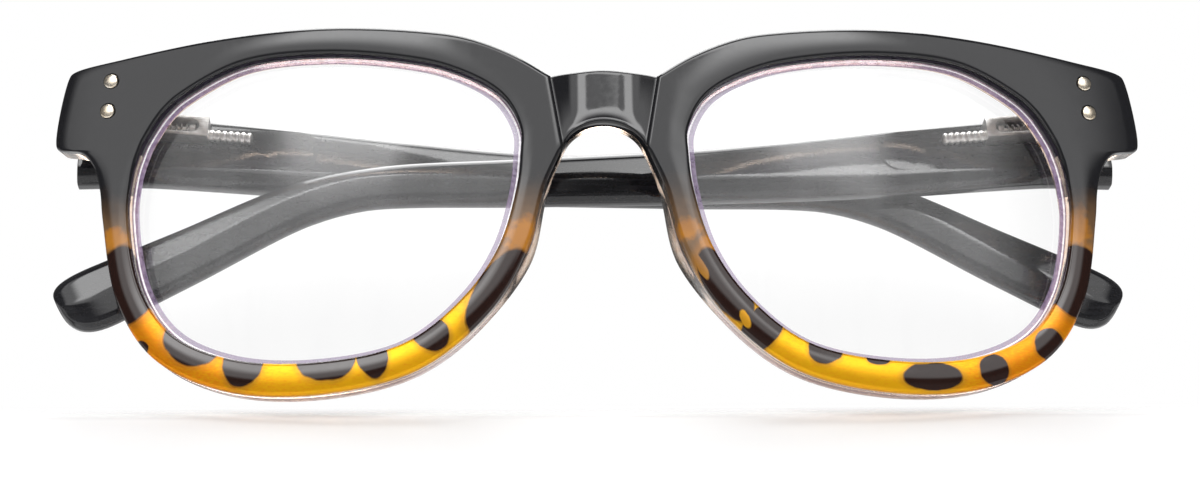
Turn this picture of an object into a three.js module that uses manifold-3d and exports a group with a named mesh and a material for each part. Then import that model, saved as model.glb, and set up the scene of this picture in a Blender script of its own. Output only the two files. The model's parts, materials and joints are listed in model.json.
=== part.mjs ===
// Square reading glasses, folded and standing on the lower rims of the front.
// Millimetres. +Z is up, the front looks along -Y and +X is the wearer's left.
import * as THREE from "three";
import { mergeVertices } from "three/addons/utils/BufferGeometryUtils.js";
import Module from "manifold-3d";

const wasm = await Module();
wasm.setup();

// Front: lens openings, rims, bridge, end pieces
const lensWidth = 49.8;
const lensHeight = 40.5;
const bridgeGap = 21.3;
const faceRadius = 350;
const rimDepth = 4.6;
const browWidth = 3.6;
const browCornerWidth = 5.3;
const browOuterWidth = 4.0;
const rimSideWidth = 3.4;
const rimLowerWidth = 3.75;
const rimBottomWidth = 4.0;
const rimNoseWidth = 3.5;
const faceCrown = 0.12;
const innerEdgeRound = 0.45;
const outerEdgeRound = 0.6;
const endReach = 9.65;
const endTopDrop = 0.9;
const endHeight = 10.4;
const endShoulder = 8.1;
const endShoulderRise = 1.5;
const endCornerCut = 2.1;
const endCornerDrop = 1.4;
const endFlare = 1.0;
const endHeelRise = 1.2;
const endHeel = 0.8;
const endUnder = 3.2;
const endUnderDrop = 0.7;
const endThroat = 4.9;
const endThroatDrop = 2.8;
const endRoot = 5.75;
const endRootDrop = 5.6;
const creaseTopHalf = 6.8;
const creaseBottomHalf = 5.2;
const creaseTopDrop = 3.55;
const creaseHeight = 9.3;
const bridgeRise = 0.73;
const archRise = 3.3;
const bridgePanelHalf = 3.0;
const bridgeRecess = 1.25;
const padDepth = 2.2;
const padFlare = 0.5;
const padHeight = 20;

// Lenses
const lensSetBack = 2.15;
const lensEdge = 1.5;
const bevelReach = 0.6;
const lensPlay = 0.12;
const lensFrontDome = 1.5;
const lensBackDome = 0.9;

// Rivets
const rivetHeadRadius = 1.0;
const rivetHeadDepth = 0.6;
const rivetShankRadius = 0.6;
const rivetSpacing = 4.1;
const rivetInset = 1.1;
const rivetPlay = 0.14;

// Hinges: the pin stands behind the end piece, and the temple's end reaches forward past it
const leftHingeLean = 5.4;
const rightHingeLean = 3.8;
const faceTilt = 8;
const hingeReach = 4.25;
const hingeDrop = 3.5;
const endPieceBack = 11.2;
const templeNose = 4.2;
const buttGap = 0.3;
const knuckleRadius = 1.3;
const knuckleHeight = 1.5;
const outerKnuckleHeight = 1.15;
const knuckleGap = 0.1;
const pinRadius = 0.55;
const pinPlay = 0.1;
const screwHeadRadius = 1.1;
const screwHeadHeight = 0.5;
const plateThick = 0.8;
const plateSink = 0.5;
const plateWidth = 5.2;
const plateHeight = 6.8;

// Spring unit in each temple
const housingStart = 2.4;
const housingEnd = 12.6;
const housingSize = 2.8;
const housingTop = 0.5;
const springRoomStart = 4.4;
const springRoomEnd = 11.4;
const springRoomHalf = 0.95;
const rodAxisDepth = 0.9;
const rodRadius = 0.3;
const tongueHalf = 0.75;
const wireRadius = 0.14;
const coilRadius = 0.62;
const coilPitch = 0.72;
const collarRadius = 0.72;
const collarLength = 0.85;
const tailLength = 5.8;
const tailRadius = 0.8;
const tailDrop = 0.5;
const tailSink = 0.4;
const tailRidges = 7;
const slotPlay = 0.15;
const mouthPlay = 0.4;

// Temples
const templeStraight = 100;
const hingeRow = 5;
const pocketRow = 26;
const middleRow = 50;
const slimRow = 75;
const bendLead = 4;
const buttSag = 3.0;
const hingeSag = 2.6;
const middleSag = 2.4;
const slimSag = 1.3;
const bendSag = 0.5;
const bendRun = 9;
const bendFall = 1.6;
const earLength = 41.7;
const earAngle = 22.5;
const templeInner = 1.5;
const templeThick = 3.8;
const earThick = 3.1;
const buttHeight = 11.0;
const hingeHeight = 9.9;
const midHeight = 7.5;
const bendHeight = 5.6;
const paddleHeight = 8.4;
const tipSlant = 0.55;
const templeEdge = 0.8;
const topRound = 0.9;
const topFall = 0.12;
const lowerFall = 0.55;
const lowerRound = 1.3;
const panelLength = 27;
const panelDepth = 0.35;
const panelTop = 2.1;
const panelBottom = 4.2;
const panelCorner = 2.4;
const leftFold = 92;
const rightFold = 88;

const degree = Math.PI / 180;
const lensTop = rimBottomWidth + lensHeight;
const lensMiddle = new THREE.Vector3((bridgeGap + lensWidth) / 2, 0, rimBottomWidth + lensHeight / 2);
const lensOuter = bridgeGap / 2 + lensWidth;
const endX = lensOuter + endReach;
const endTop = lensTop - endTopDrop;
const endBottom = endTop - endHeight;
const creaseTop = lensTop - creaseTopDrop;
const creaseBottom = creaseTop - creaseHeight;

// A closed body from points and triangles, turned to face outward.
function bodyFrom(points, triangles) {
  const a = new THREE.Vector3();
  const b = new THREE.Vector3();
  const c = new THREE.Vector3();
  let volume = 0;
  for (const [i, j, k] of triangles) {
    a.fromArray(points[i]);
    b.fromArray(points[j]);
    c.fromArray(points[k]);
    volume += a.dot(b.cross(c));
  }
  const order = volume < 0 ? triangles.map(([i, j, k]) => [i, k, j]) : triangles;
  const geometry = new THREE.BufferGeometry();
  geometry.setAttribute("position", new THREE.Float32BufferAttribute(points.flat(), 3));
  geometry.setIndex(order.flat());
  return geometry;
}

// A skin over closed outlines of equal length; a row that does not close gets two flat caps.
function loft(outlines, closed) {
  const size = outlines[0].length;
  const triangles = [];
  const last = closed ? outlines.length : outlines.length - 1;
  for (let i = 0; i < last; i++) {
    const near = i * size;
    const far = ((i + 1) % outlines.length) * size;
    for (let j = 0; j < size; j++) {
      const next = (j + 1) % size;
      triangles.push([near + j, near + next, far + next]);
      triangles.push([near + j, far + next, far + j]);
    }
  }
  if (!closed) {
    const end = (outlines.length - 1) * size;
    for (let j = 1; j + 1 < size; j++) {
      triangles.push([0, j + 1, j]);
      triangles.push([end, end + j, end + j + 1]);
    }
  }
  return bodyFrom(outlines.flat(), triangles);
}

// Geometry to a solid for joining and cutting, and back. A mirrored body is turned to face outward.
function solidOf(geometry) {
  const bare = new THREE.BufferGeometry();
  const loose = geometry.index ? geometry.toNonIndexed() : geometry;
  bare.setAttribute("position", loose.getAttribute("position"));
  const merged = mergeVertices(bare, 1e-4);
  const points = [];
  const place = merged.getAttribute("position");
  for (let i = 0; i < place.count; i++) points.push([place.getX(i), place.getY(i), place.getZ(i)]);
  const triangles = [];
  const index = merged.index.array;
  for (let i = 0; i < index.length; i += 3) {
    const corner = [index[i], index[i + 1], index[i + 2]];
    if (new Set(corner).size === 3) triangles.push(corner);
  }
  const body = bodyFrom(points, triangles);
  const mesh = new wasm.Mesh({
    numProp: 3,
    vertProperties: body.getAttribute("position").array,
    triVerts: new Uint32Array(body.index.array),
  });
  return new wasm.Manifold(mesh);
}

function geometryOf(solid) {
  const mesh = solid.getMesh();
  const geometry = new THREE.BufferGeometry();
  geometry.setAttribute("position", new THREE.BufferAttribute(new Float32Array(mesh.vertProperties), 3));
  geometry.setIndex(new THREE.BufferAttribute(new Uint32Array(mesh.triVerts), 1));
  geometry.computeVertexNormals();
  return geometry;
}

const joined = (...pieces) => pieces.map(solidOf).reduce((whole, piece) => whole.add(piece));

function cutBy(solid, ...pieces) {
  return pieces.map(solidOf).reduce((whole, piece) => whole.subtract(piece), solid);
}

function box(x0, x1, y0, y1, z0, z1) {
  const geometry = new THREE.BoxGeometry(x1 - x0, y1 - y0, z1 - z0);
  return geometry.translate((x0 + x1) / 2, (y0 + y1) / 2, (z0 + z1) / 2);
}

function uprightCylinder(radius, z0, z1, sides) {
  const geometry = new THREE.CylinderGeometry(radius, radius, z1 - z0, sides);
  return geometry.rotateX(Math.PI / 2).translate(0, 0, (z0 + z1) / 2);
}

function lengthwiseCylinder(radius, x0, x1, y, z, sides) {
  const geometry = new THREE.CylinderGeometry(radius, radius, x1 - x0, sides);
  return geometry.rotateZ(-Math.PI / 2).translate((x0 + x1) / 2, y, z);
}

// A plate in the X-Z plane with one rounded end, from y0 to y1.
function roundEndedPlate(x0, x1, z0, z1, radius, y0, y1) {
  const shape = new THREE.Shape();
  shape.moveTo(x0, z0);
  shape.lineTo(x1 - radius, z0);
  shape.absarc(x1 - radius, z0 + radius, radius, -Math.PI / 2, 0);
  shape.lineTo(x1, z1 - radius);
  shape.absarc(x1 - radius, z1 - radius, radius, 0, Math.PI / 2);
  shape.lineTo(x0, z1);
  shape.closePath();
  const settings = { depth: y1 - y0, bevelEnabled: false, curveSegments: 6 };
  const geometry = new THREE.ExtrudeGeometry(shape, settings);
  return geometry.rotateX(Math.PI / 2).translate(0, y1, 0);
}

// The front is drawn flat and then bent round the face.
const flatX = (x) => faceRadius * Math.asin(x / faceRadius);

function bent(x, y, z) {
  const turn = x / faceRadius;
  return [(faceRadius - y) * Math.sin(turn), faceRadius - (faceRadius - y) * Math.cos(turn), z];
}

// Round one lens opening: a point as shares of the half width and half height, and the rim outside it
// as a width or as a corner of the outline. It runs from the bridge over the brow and back up the nose.
const rimStations = [
  [-0.934, 0.649, [creaseTopHalf, creaseTop]],
  [-0.843, 0.756, browCornerWidth],
  [-0.657, 0.872, (browCornerWidth * 2 + browWidth) / 3],
  [-0.472, 0.936, (browCornerWidth + browWidth * 2) / 3],
  [0, 1, browWidth],
  [0.448, 0.951, browOuterWidth],
  [0.753, 0.758, [endX - endShoulder, endTop + endShoulderRise]],
  [0.823, 0.681, [endX - endCornerCut, endTop]],
  [0.865, 0.615, [endX - endFlare, endTop - endCornerDrop]],
  [0.926, 0.489, [endX, endBottom + endHeelRise]],
  [0.942, 0.447, [endX - endHeel, endBottom]],
  [0.962, 0.375, [endX - endUnder, endBottom - endUnderDrop]],
  [0.978, 0.309, [endX - endThroat, endBottom - endThroatDrop]],
  [0.994, 0.193, [endX - endRoot, endBottom - endRootDrop]],
  [1, -0.02, rimSideWidth],
  [0.918, -0.496, rimSideWidth],
  [0.749, -0.793, rimLowerWidth],
  [0.448, -0.963, rimBottomWidth],
  [0.02, -1, rimBottomWidth],
  [-0.424, -0.889, rimLowerWidth],
  [-0.727, -0.588, rimLowerWidth],
  [-0.894, -0.269, rimNoseWidth],
  [-0.982, 0.116, rimNoseWidth],
  [-0.999, 0.314, [creaseBottomHalf, creaseBottom]],
  [-1, 0.472, null],
];
const stationSteps = 3;
const openingPoints = rimStations.map(([across, up]) => {
  const x = lensMiddle.x + (across * lensWidth) / 2;
  return new THREE.Vector3(flatX(x), 0, lensMiddle.z + (up * lensHeight) / 2);
});
const opening = new THREE.CatmullRomCurve3(openingPoints, true, "centripetal");

function outwardAt(share) {
  const along = opening.getTangent(share);
  return new THREE.Vector3(-along.z, 0, along.x);
}

const outlinePoints = rimStations.slice(0, -1).map(([, , rim], i) => {
  if (Array.isArray(rim)) return new THREE.Vector3(flatX(rim[0]), 0, rim[1]);
  return openingPoints[i].clone().addScaledVector(outwardAt(i / rimStations.length), rim);
});
const outline = new THREE.CatmullRomCurve3(outlinePoints, false, "centripetal");
const creaseStart = outlinePoints[outlinePoints.length - 1];

const stations = [];
for (let i = 0; i < rimStations.length; i++) {
  for (let j = 0; j < stationSteps; j++) {
    const step = i + j / stationSteps;
    const share = step / rimStations.length;
    const inner = opening.getPoint(share);
    const past = step - (outlinePoints.length - 1);
    const outer =
      past < 0
        ? outline.getPoint(step / (outlinePoints.length - 1))
        : creaseStart.clone().lerp(outlinePoints[0], past / 2);
    stations.push({ inner, outer, outward: outwardAt(share) });
  }
}

// The pads swell out of the back of the rim beside the nose.
function padShare(station) {
  const reach = (station.outer.z - padHeight) / 11;
  if (station.outward.x > 0 || Math.abs(reach) > 1) return 0;
  return Math.cos((reach * Math.PI) / 2) ** 2;
}

const grooveMiddle = lensSetBack + lensEdge / 2;
const grooveHalf = lensEdge / 2 + lensPlay;

function rimSection(station) {
  const { inner, outer, outward } = station;
  const across = outer.clone().sub(inner);
  const width = across.length();
  across.normalize();
  const pad = padShare(station);
  const flare = padFlare * pad;
  const back = rimDepth + padDepth * pad;
  const at = (reach, depth) => {
    const point = inner.clone().addScaledVector(across, reach);
    return bent(point.x, depth, point.z);
  };
  const groove = inner.clone().addScaledVector(outward, bevelReach + 2 * lensPlay);
  return [
    at(0, innerEdgeRound),
    at(innerEdgeRound * 0.29, innerEdgeRound * 0.29),
    at(innerEdgeRound, 0),
    at(width / 2, -faceCrown),
    at(width - outerEdgeRound, 0),
    at(width - outerEdgeRound * 0.29, outerEdgeRound * 0.29),
    at(width, outerEdgeRound),
    at(width + flare, back - 0.6),
    at(width + flare - 0.6, back),
    at(width * 0.45, rimDepth),
    at(0.4, rimDepth),
    at(0, rimDepth - 0.4),
    at(0, grooveMiddle + grooveHalf),
    bent(groove.x, grooveMiddle, groove.z),
    at(0, grooveMiddle - grooveHalf),
  ];
}

const mirrored = (geometry) => geometry.clone().applyMatrix4(new THREE.Matrix4().makeScale(-1, 1, 1));
const leftRim = loft(stations.map(rimSection), true);

// The bridge lies back between the two creases: a sloped facet on each side of a shallow panel.
const panelShare = bridgePanelHalf / ((creaseTopHalf + creaseBottomHalf) / 2);

function bridgeSection(share) {
  const column = (height) => {
    const climb = (height - creaseBottom) / creaseHeight;
    return share * (creaseBottomHalf + (creaseTopHalf - creaseBottomHalf) * climb);
  };
  const topX = share * creaseTopHalf;
  const top = creaseTop + bridgeRise * (1 - share ** 2);
  const bottomX = share * creaseBottomHalf;
  const round = Math.sqrt(Math.max(0, 1 - (share * 0.81) ** 2));
  const bottom = creaseBottom + archRise - (archRise * (1 - round)) / (1 - Math.sqrt(1 - 0.81 ** 2));
  const middle = (top + bottom) / 2;
  const facet = Math.min(1, (1 - Math.abs(share)) / (1 - panelShare));
  const face = outerEdgeRound * 0.6 + (bridgeRecess - outerEdgeRound * 0.6) * Math.max(facet, 0);
  const at = (x, depth, z) => bent(flatX(x), depth, z);
  return [
    at(topX, face + 0.5, top),
    at(topX, face + 0.12, top - 0.4),
    at(column(middle), face, middle),
    at(bottomX, face + 0.12, bottom + 0.5),
    at(bottomX, face + 0.5, bottom),
    at(bottomX, rimDepth - 0.4, bottom),
    at(bottomX, rimDepth, bottom + 0.5),
    at(column(middle), rimDepth, middle),
    at(topX, rimDepth, top - 0.5),
    at(topX, rimDepth - 0.4, top),
  ];
}

const bridgeShares = [1.12, 1, 0.75, panelShare, 0.3, 0];
const bridgeRow = [...bridgeShares.map((share) => -share), ...bridgeShares.slice(0, -1).reverse()];
const bridge = loft(bridgeRow.map(bridgeSection), false);

// Hinge frame on the wearer's left: X runs back along the open temple, Y inward to the head, Z up the pin.
const pinMiddle = new THREE.Vector3(
  lensOuter + hingeReach,
  endPieceBack + (templeNose + buttGap) * Math.cos(faceTilt * degree),
  endTop - hingeDrop,
);

function hingeFrame(lean, fold) {
  const up = new THREE.Vector3(-Math.sin(lean * degree), Math.sin(faceTilt * degree), 1).normalize();
  const back = new THREE.Vector3(0, 1, 0);
  back.addScaledVector(up, -back.dot(up)).normalize();
  const inward = up.clone().cross(back);
  back.applyAxisAngle(up, fold * degree);
  inward.applyAxisAngle(up, fold * degree);
  return new THREE.Matrix4().makeBasis(back, inward, up).setPosition(pinMiddle);
}

// End piece: a block behind the rim with a flat back that the temple's end closes against.
function endBlock() {
  const shape = new THREE.Shape();
  shape.moveTo(lensOuter - 0.6, endBottom + 1.4);
  shape.lineTo(endX - 1.0, endBottom + 1.4);
  shape.lineTo(endX - 1.6, endTop - 1.2);
  shape.lineTo(lensOuter - 0.6, endTop + 0.2);
  shape.closePath();
  const front = faceRadius * (1 - Math.cos(lensOuter / faceRadius)) + rimDepth / 2;
  const settings = { depth: endPieceBack + 3 - front, bevelEnabled: false };
  const geometry = new THREE.ExtrudeGeometry(shape, settings);
  return geometry.rotateX(Math.PI / 2).translate(0, endPieceBack + 3, 0);
}

const platePlane = -(templeNose + buttGap);

function rivetPlaces(lean) {
  const frame = hingeFrame(lean, 0);
  return [1, -1].map((side) => {
    const point = new THREE.Vector3(0, rivetInset, (side * rivetSpacing) / 2).applyMatrix4(frame);
    const turn = Math.asin(point.x / faceRadius);
    const outward = new THREE.Vector3(Math.sin(turn), -Math.cos(turn), 0);
    const foot = new THREE.Vector3(point.x, faceRadius * (1 - Math.cos(turn)), point.z);
    const back = new THREE.Vector3().setFromMatrixColumn(frame, 0);
    const target = new THREE.Vector3(platePlane + plateThick - plateSink, 0, 0).applyMatrix4(frame);
    const length = target.sub(foot).dot(back) / -outward.dot(back);
    const spin = new THREE.Quaternion().setFromUnitVectors(new THREE.Vector3(0, 1, 0), outward);
    return { place: new THREE.Matrix4().compose(foot, spin, new THREE.Vector3(1, 1, 1)), length };
  });
}

function turned(profile, sides) {
  return new THREE.LatheGeometry(profile.map(([r, h]) => new THREE.Vector2(r, h)), sides);
}

function rivetBody({ place, length }) {
  const profile = [
    [0, -length + rivetPlay],
    [rivetShankRadius, -length + rivetPlay],
    [rivetShankRadius, -rivetHeadDepth],
    [rivetHeadRadius, -rivetHeadDepth],
    [rivetHeadRadius, -0.05],
    [rivetHeadRadius * 0.86, 0.12],
    [rivetHeadRadius * 0.5, 0.22],
    [0, 0.26],
  ];
  return turned(profile, 16).applyMatrix4(place);
}

function rivetHole({ place, length }) {
  const profile = [
    [0, -length - 2],
    [rivetShankRadius + rivetPlay, -length - 2],
    [rivetShankRadius + rivetPlay, -rivetHeadDepth - rivetPlay],
    [rivetHeadRadius + rivetPlay, -rivetHeadDepth - rivetPlay],
    [rivetHeadRadius + rivetPlay, 1],
    [0, 1],
  ];
  return turned(profile, 16).applyMatrix4(place);
}

function endCuts(lean) {
  const frame = hingeFrame(lean, 0);
  const sweep = endHeight * 1.2;
  const behind = box(platePlane, platePlane + sweep, -endReach, endReach, -sweep, sweep);
  behind.applyMatrix4(frame);
  const recess = box(
    platePlane - plateSink - slotPlay,
    platePlane + 1,
    -knuckleRadius - slotPlay,
    plateWidth - knuckleRadius + slotPlay,
    -plateHeight / 2 - slotPlay,
    plateHeight / 2 + slotPlay,
  ).applyMatrix4(frame);
  return [behind, recess, ...rivetPlaces(lean).map(rivetHole)];
}

const frontBlank = joined(leftRim, mirrored(leftRim), bridge, endBlock(), mirrored(endBlock()));
const frontBody = cutBy(frontBlank, ...endCuts(leftHingeLean), ...endCuts(rightHingeLean).map(mirrored));

// Lens: two domed faces with a bevel between them that sits in the groove of the rim.
function lensBody() {
  const points = [];
  const triangles = [];
  const count = stations.length;
  const rings = [0.45, 0.8, 1];
  const middle = new THREE.Vector3(flatX(lensMiddle.x), 0, lensMiddle.z);
  const row = (share, reach, depth) => {
    for (const { inner, outward } of stations) {
      const edge = inner.clone().addScaledVector(outward, reach);
      edge.lerp(middle, 1 - share);
      points.push(bent(edge.x, depth, edge.z));
    }
  };
  const front = (share) => lensSetBack - lensFrontDome * (1 - share ** 2);
  const rear = (share) => lensSetBack + lensEdge - lensBackDome * (1 - share ** 2);
  points.push(bent(middle.x, front(0), middle.z));
  rings.forEach((share) => row(share, -lensPlay, front(share)));
  row(1, bevelReach, grooveMiddle);
  rings.toReversed().forEach((share) => row(share, -lensPlay, rear(share)));
  points.push(bent(middle.x, rear(0), middle.z));
  const rows = rings.length * 2 + 1;
  const end = points.length - 1;
  for (let j = 0; j < count; j++) {
    const next = (j + 1) % count;
    triangles.push([0, 1 + next, 1 + j]);
    for (let i = 0; i + 1 < rows; i++) {
      const near = 1 + i * count;
      const far = near + count;
      triangles.push([near + j, near + next, far + next]);
      triangles.push([near + j, far + next, far + j]);
    }
    const lastRow = 1 + (rows - 1) * count;
    triangles.push([end, lastRow + j, lastRow + next]);
  }
  return bodyFrom(points, triangles);
}

// Front leaf of the hinge: a plate sunk in the end piece with two knuckles on arms.
const knuckleBottom = knuckleHeight / 2 + knuckleGap;
const knuckleTop = knuckleBottom + outerKnuckleHeight;

function frontLeaf(lean) {
  const plate = box(
    platePlane - plateSink,
    platePlane - plateSink + plateThick,
    -knuckleRadius,
    plateWidth - knuckleRadius,
    -plateHeight / 2,
    plateHeight / 2,
  );
  const armStart = platePlane - plateSink + plateThick / 2;
  const arms = [
    [knuckleBottom, knuckleTop],
    [-knuckleTop, -knuckleBottom],
  ].flatMap(([low, high]) => [
    box(armStart, -0.2, -knuckleRadius + 0.1, 0.1, low, high),
    uprightCylinder(knuckleRadius, low, high, 20),
  ]);
  const back = hingeFrame(lean, 0).invert();
  const holes = rivetPlaces(lean).map((rivet) => rivetHole(rivet).applyMatrix4(back));
  const pinHole = uprightCylinder(pinRadius + pinPlay, -4, 4, 16);
  return geometryOf(cutBy(joined(plate, ...arms), pinHole, ...holes));
}

function hingeScrew() {
  const seat = knuckleTop + 0.05;
  const profile = [
    [0, -knuckleTop - 0.1],
    [pinRadius, -knuckleTop - 0.1],
    [pinRadius, seat],
    [screwHeadRadius, seat],
    [screwHeadRadius, seat + screwHeadHeight * 0.7],
    [screwHeadRadius * 0.8, seat + screwHeadHeight],
    [0, seat + screwHeadHeight],
  ];
  const body = turned(profile, 16).rotateX(Math.PI / 2);
  const slot = box(-2, 2, -0.17, 0.17, seat + screwHeadHeight - 0.22, seat + 2);
  return geometryOf(cutBy(joined(body), slot));
}

// Slider: the middle knuckle, a tongue in the mouth of the housing and the rod that carries the spring.
const rodEnd = springRoomEnd - 0.5;
const collarStart = rodEnd - collarLength;

function slider() {
  const knuckle = uprightCylinder(knuckleRadius, -knuckleHeight / 2, knuckleHeight / 2, 20);
  const tongue = box(0.4, springRoomStart - 0.8, -rodAxisDepth - 0.6, 0.1, -tongueHalf, tongueHalf);
  const rod = lengthwiseCylinder(rodRadius, springRoomStart - 1.2, rodEnd, -rodAxisDepth, 0, 10);
  const pinHole = uprightCylinder(pinRadius + pinPlay, -4, 4, 16);
  return geometryOf(cutBy(joined(knuckle, tongue, rod), pinHole));
}

function rodCollar() {
  const body = lengthwiseCylinder(collarRadius, collarStart, rodEnd - 0.05, -rodAxisDepth, 0, 12);
  const hole = lengthwiseCylinder(rodRadius + 0.06, collarStart - 1, rodEnd + 1, -rodAxisDepth, 0, 10);
  return geometryOf(cutBy(joined(body), hole));
}

// Coil spring: one wire with a straight lead at each end, between the housing's shoulder and the collar.
const springStart = springRoomStart + 0.06;
const springEnd = collarStart - 0.06;
const springLead = 2 * wireRadius;
const coilTurns = Math.round((springEnd - springStart - 2 * springLead) / coilPitch);

function springPath() {
  const path = [];
  const coilStart = springStart + springLead;
  const coilLength = springEnd - springStart - 2 * springLead;
  const onCoil = (share) => {
    const turn = share * coilTurns * 2 * Math.PI;
    const x = coilStart + share * coilLength;
    return new THREE.Vector3(x, -rodAxisDepth + coilRadius * Math.cos(turn), coilRadius * Math.sin(turn));
  };
  path.push(onCoil(0).setX(springStart));
  for (let i = 0; i <= coilTurns * 8; i++) path.push(onCoil(i / (coilTurns * 8)));
  path.push(onCoil(1).setX(springEnd));
  return path;
}

function coilSpring() {
  const path = springPath();
  const axis = new THREE.Vector3(1, 0, 0);
  const rows = path.map((point, i) => {
    const out = new THREE.Vector3(0, point.y + rodAxisDepth, point.z).normalize();
    const before = path[Math.max(i - 1, 0)];
    const after = path[Math.min(i + 1, path.length - 1)];
    const ahead = after.clone().sub(before).normalize();
    const isEnd = i === 0 || i === path.length - 1;
    const along = isEnd ? axis : ahead;
    const side = along.clone().cross(out).normalize();
    const lift = side.clone().cross(along).normalize();
    const ring = [];
    for (let k = 0; k < 5; k++) {
      const turn = (k / 5) * 2 * Math.PI;
      const spot = point.clone();
      spot.addScaledVector(lift, wireRadius * Math.cos(turn));
      spot.addScaledVector(side, wireRadius * Math.sin(turn));
      ring.push(spot.toArray());
    }
    return ring;
  });
  return loft(rows, false);
}

function springSelfGap() {
  const path = springPath();
  let least = Infinity;
  path.forEach((a, i) => {
    for (let j = i + 5; j < path.length; j++) {
      least = Math.min(least, a.distanceTo(path[j]) - 2 * wireRadius);
    }
  });
  return least;
}

// Housing: a small box with a window over the spring and a ridged tail that anchors it in the temple.
function springHousing() {
  const half = housingSize / 2;
  const floor = housingTop - housingSize;
  const shell = box(housingStart, housingEnd, floor, housingTop, -half, half);
  const tailProfile = [[0, -0.1]];
  const pitch = tailLength / tailRidges;
  for (let i = 0; i < tailRidges; i++) {
    tailProfile.push([tailRadius * 0.76, i * pitch - (i === 0 ? 0.1 : 0)]);
    tailProfile.push([tailRadius, (i + 0.35) * pitch]);
    tailProfile.push([tailRadius, (i + 0.75) * pitch]);
  }
  tailProfile.push([tailRadius * 0.7, tailLength]);
  tailProfile.push([0, tailLength]);
  const tail = turned(tailProfile, 12).rotateZ(-Math.PI / 2);
  tail.translate(housingEnd, -rodAxisDepth - tailSink, -tailDrop);
  const mouth = box(
    housingStart - 1,
    springRoomStart - 0.6,
    -rodAxisDepth - 0.7,
    0.2,
    -tongueHalf - 0.1,
    tongueHalf + 0.1,
  );
  const wall = springRoomStart;
  const rodHole = lengthwiseCylinder(rodRadius + 0.1, wall - 1, wall + 1, -rodAxisDepth, 0, 10);
  const window = roundEndedPlate(
    springRoomStart,
    springRoomEnd,
    -springRoomHalf,
    springRoomHalf,
    springRoomHalf * 0.98,
    -rodAxisDepth - 1,
    housingTop + 1,
  );
  return geometryOf(cutBy(joined(shell, tail), mouth, rodHole, window));
}

// Temple: flat on the outside, with a ridge along the inside that climbs toward the ear.
const templeOuter = -templeInner - templeThick;
const templeRows = [
  { along: -templeNose, middle: -buttSag, height: buttHeight, ridge: 0.82 },
  { along: hingeRow, middle: -hingeSag, height: hingeHeight, ridge: 0.82 },
  { along: pocketRow, middle: -hingeSag, height: (hingeHeight * 3 + midHeight) / 4, ridge: 0.77 },
  { along: middleRow, middle: -middleSag, height: midHeight, ridge: 0.62 },
  { along: slimRow, middle: -slimSag, height: (midHeight + bendHeight) / 2, ridge: 0.46 },
  { along: templeStraight - bendLead, middle: -bendSag, height: bendHeight, ridge: 0.34 },
];

function templeLine() {
  const points = templeRows.map(({ along, middle }) => new THREE.Vector3(along, 0, middle));
  const bendStart = points[points.length - 1];
  const fall = new THREE.Vector3(Math.cos(earAngle * degree), 0, -Math.sin(earAngle * degree));
  const bendEnd = bendStart.clone().add(new THREE.Vector3(bendRun, 0, -bendFall));
  const dropLength = earLength - bendRun;
  points.push(bendEnd);
  points.push(bendEnd.clone().addScaledVector(fall, dropLength / 2));
  points.push(bendEnd.clone().addScaledVector(fall, dropLength));
  return new THREE.CatmullRomCurve3(points, false, "centripetal");
}

const templeHeights = [
  ...templeRows.map((row) => row.height),
  (bendHeight * 5 + paddleHeight) / 6,
  (bendHeight + paddleHeight * 2) / 3,
  paddleHeight,
];
const templeRidges = [...templeRows.map((row) => row.ridge), 0.4, 0.5, 0.53];

function between(values, share) {
  const step = Math.min(share * (values.length - 1), values.length - 1.000001);
  const low = Math.floor(step);
  const part = step - low;
  return values[low] * (1 - part) + values[low + 1] * part;
}

// Toward the tip the section shrinks up to its top edge, which leaves the end cut at a slant.
function templeSection(line, share, squeeze) {
  const ahead = line.getTangent(share);
  const up = new THREE.Vector3(-ahead.z, 0, ahead.x);
  const full = between(templeHeights, share) / 2;
  const half = full * squeeze;
  const middle = line.getPoint(share).addScaledVector(up, tipSlant * (full - half));
  const ridge = half - 2 * half * between(templeRidges, share);
  const thick = templeThick + (earThick - templeThick) * Math.min(1, share * 1.2);
  const inner = templeOuter + thick * (0.55 + 0.45 * squeeze);
  const edge = Math.min(templeEdge, half * 0.3);
  const at = (depth, height) => [middle.x + up.x * height, depth, middle.z + up.z * height];
  return [
    at(inner - topRound, half),
    at(inner - topFall, half - edge),
    at(inner, ridge),
    at(inner - lowerFall, -half + edge),
    at(inner - lowerRound, -half),
    at(templeOuter + templeEdge, -half),
    at(templeOuter, -half + edge),
    at(templeOuter, half - edge),
    at(templeOuter + templeEdge, half),
  ];
}

function temple() {
  const line = templeLine();
  const rows = [];
  const tipStart = 0.955;
  for (let i = 0; i <= 26; i++) rows.push(templeSection(line, (i / 26) * tipStart, 1));
  for (const turn of [22, 40, 55, 68, 79]) {
    const share = tipStart + (1 - tipStart) * Math.sin(turn * degree);
    rows.push(templeSection(line, share, Math.cos(turn * degree)));
  }
  const body = joined(loft(rows, false));
  const face = -templeInner - panelDepth;
  const half = housingSize / 2 + slotPlay;
  const floor = housingTop - housingSize - slotPlay;
  const clear = templeThick;
  const panel = roundEndedPlate(
    -templeNose - clear,
    panelLength,
    -panelBottom,
    panelTop,
    panelCorner,
    face,
    clear,
  );
  const slot = box(housingStart - mouthPlay, housingEnd + slotPlay, floor, clear, -half, half);
  const tailHalf = tailRadius + slotPlay;
  const tailSlot = roundEndedPlate(
    housingEnd - tailLength / 6,
    housingEnd + tailLength + slotPlay,
    -tailDrop - tailHalf,
    -tailDrop + tailHalf,
    tailHalf * 0.6,
    -rodAxisDepth - tailSink - tailHalf,
    clear,
  );
  return geometryOf(cutBy(body, panel, slot, tailSlot));
}

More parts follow.
